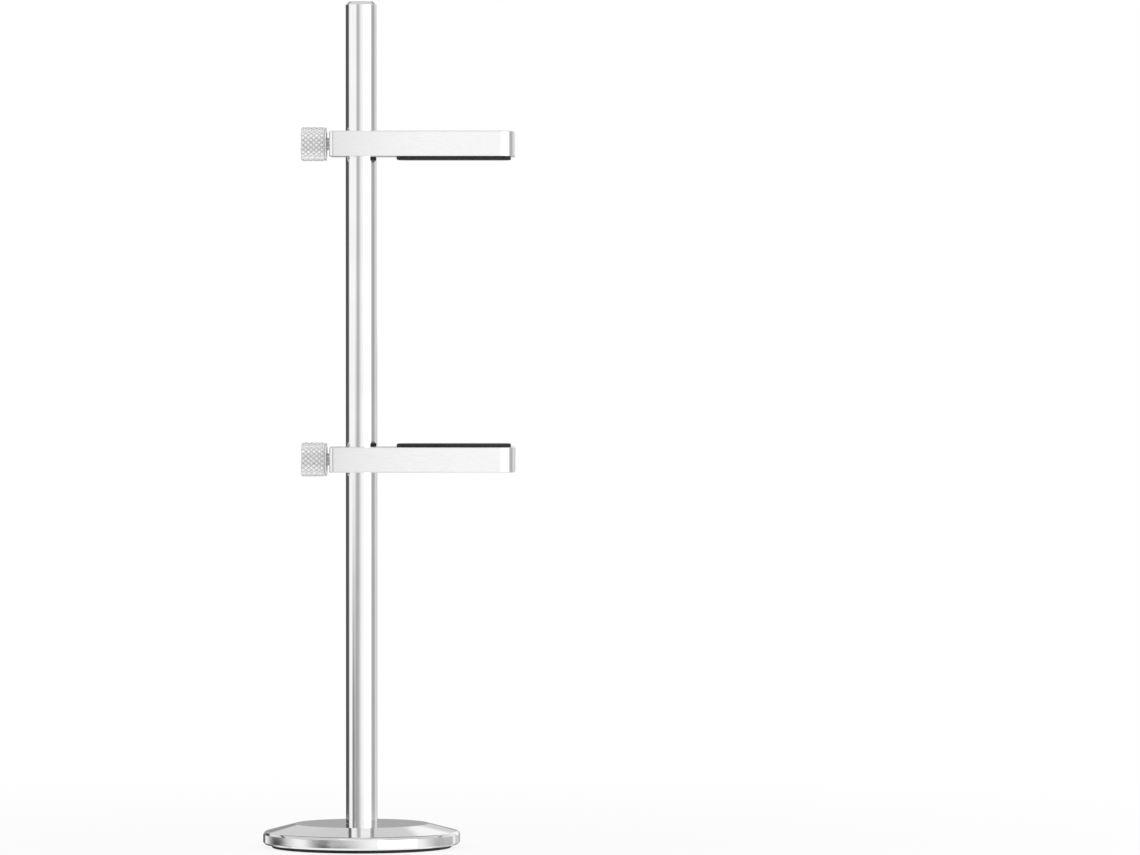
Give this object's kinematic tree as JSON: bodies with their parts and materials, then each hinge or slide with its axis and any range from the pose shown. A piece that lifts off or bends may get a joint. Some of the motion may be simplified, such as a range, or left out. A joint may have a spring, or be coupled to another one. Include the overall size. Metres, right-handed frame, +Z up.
{
  "type": "graphics card support bracket",
  "caption": "Free-standing graphics card support: a round base, an upright polished rod and padded arms that slide, swivel and lock with knurled thumbscrews.",
  "frame": {"origin": "centre of the foot pad's underside, on the rod's axis, at floor level", "axes": "+Z up along the rod, +X along the arms towards the card, thumbscrews on the -X side"},
  "size_m": [0.064, 0.05, 0.2146],
  "materials": {
    "base_metal": "mirror-polished plated steel",
    "rod_metal": "mirror-polished plated steel",
    "arm_aluminium": "fine satin anodised",
    "knob_metal": "bright turned and knurled",
    "dark_steel": "plain steel screw",
    "magnet_plating": "nickel plated",
    "black_rubber": "matt black rubber",
    "liner_plastic": "natural nylon"
  },
  "bodies": {
    "stand": {"base": "base_metal", "foot_pad": "black_rubber", "base_screw": "dark_steel", "rod": "rod_metal", "magnet_1": "magnet_plating", "magnet_2": "magnet_plating", "magnet_3": "magnet_plating", "magnet_4": "magnet_plating"},
    "lower_slider": {"lower_liner": "liner_plastic"},
    "lower_clamp": {"lower_arm": "arm_aluminium", "lower_pad": "black_rubber"},
    "lower_presser": {"lower_tip": "liner_plastic"},
    "lower_thumbscrew": {"lower_knob": "knob_metal", "lower_stud": "dark_steel"},
    "upper_slider": {"upper_liner": "liner_plastic"},
    "upper_clamp": {"upper_arm": "arm_aluminium", "upper_pad": "black_rubber"},
    "upper_presser": {"upper_tip": "liner_plastic"},
    "upper_thumbscrew": {"upper_knob": "knob_metal", "upper_stud": "dark_steel"}
  },
  "joints": [
    {"name": "lower_arm_slide", "type": "slide", "parent": "stand", "child": "lower_slider", "axis": [0, 0, 1], "range_m": [-0.0875, 0.035]},
    {"name": "lower_arm_swivel", "type": "hinge", "parent": "lower_slider", "child": "lower_clamp", "pos_m": [0, 0, 0.0985], "axis": [0, 0, 1], "continuous": true},
    {"name": "lower_screw_travel", "type": "slide", "parent": "lower_clamp", "child": "lower_presser", "axis": [-1, 0, 0], "range_m": [0, 0.001]},
    {"name": "lower_screw_turn", "type": "hinge", "parent": "lower_presser", "child": "lower_thumbscrew", "pos_m": [-0.008, 0, 0.0985], "axis": [-1, 0, 0], "range_deg": [0, 720]},
    {"name": "upper_arm_slide", "type": "slide", "parent": "stand", "child": "upper_slider", "axis": [0, 0, 1], "range_m": [-0.035, 0.032]},
    {"name": "upper_arm_swivel", "type": "hinge", "parent": "upper_slider", "child": "upper_clamp", "pos_m": [0, 0, 0.1785], "axis": [0, 0, 1], "continuous": true},
    {"name": "upper_screw_travel", "type": "slide", "parent": "upper_clamp", "child": "upper_presser", "axis": [-1, 0, 0], "range_m": [0, 0.001]},
    {"name": "upper_screw_turn", "type": "hinge", "parent": "upper_presser", "child": "upper_thumbscrew", "pos_m": [-0.008, 0, 0.1785], "axis": [-1, 0, 0], "range_deg": [0, 720]}
  ],
  "couplings": [
    {"joint": "lower_screw_turn", "follows": "lower_screw_travel", "rad_per_m": 12566},
    {"joint": "upper_screw_turn", "follows": "upper_screw_travel", "rad_per_m": 12566}
  ]
}
